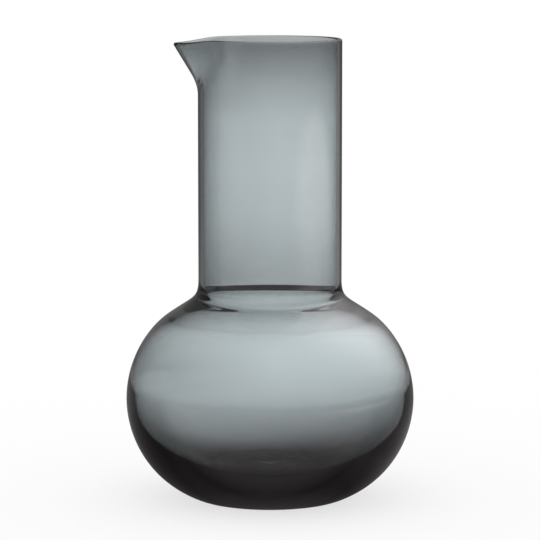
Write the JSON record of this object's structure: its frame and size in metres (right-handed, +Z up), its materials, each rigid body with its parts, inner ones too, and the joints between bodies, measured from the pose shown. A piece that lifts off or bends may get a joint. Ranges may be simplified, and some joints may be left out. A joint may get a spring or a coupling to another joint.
{
  "type": "water carafe",
  "caption": "Blown smoked-glass water carafe: a round heavy-bottomed bulb that runs up into a wide straight neck with a pulled pouring lip.",
  "frame": {"origin": "middle of the standing face under the bulb, on the axis of the neck", "axes": "+Z up along the axis of the neck, -X towards the tip of the pouring lip"},
  "size_m": [0.1454, 0.1454, 0.2324],
  "materials": {
    "smoked_glass": "clear smoked glass, fire-polished, blue-grey in the thin walls and near black in the thick floor"
  },
  "bodies": {
    "root": {"glass_body": "smoked_glass"}
  },
  "joints": []
}
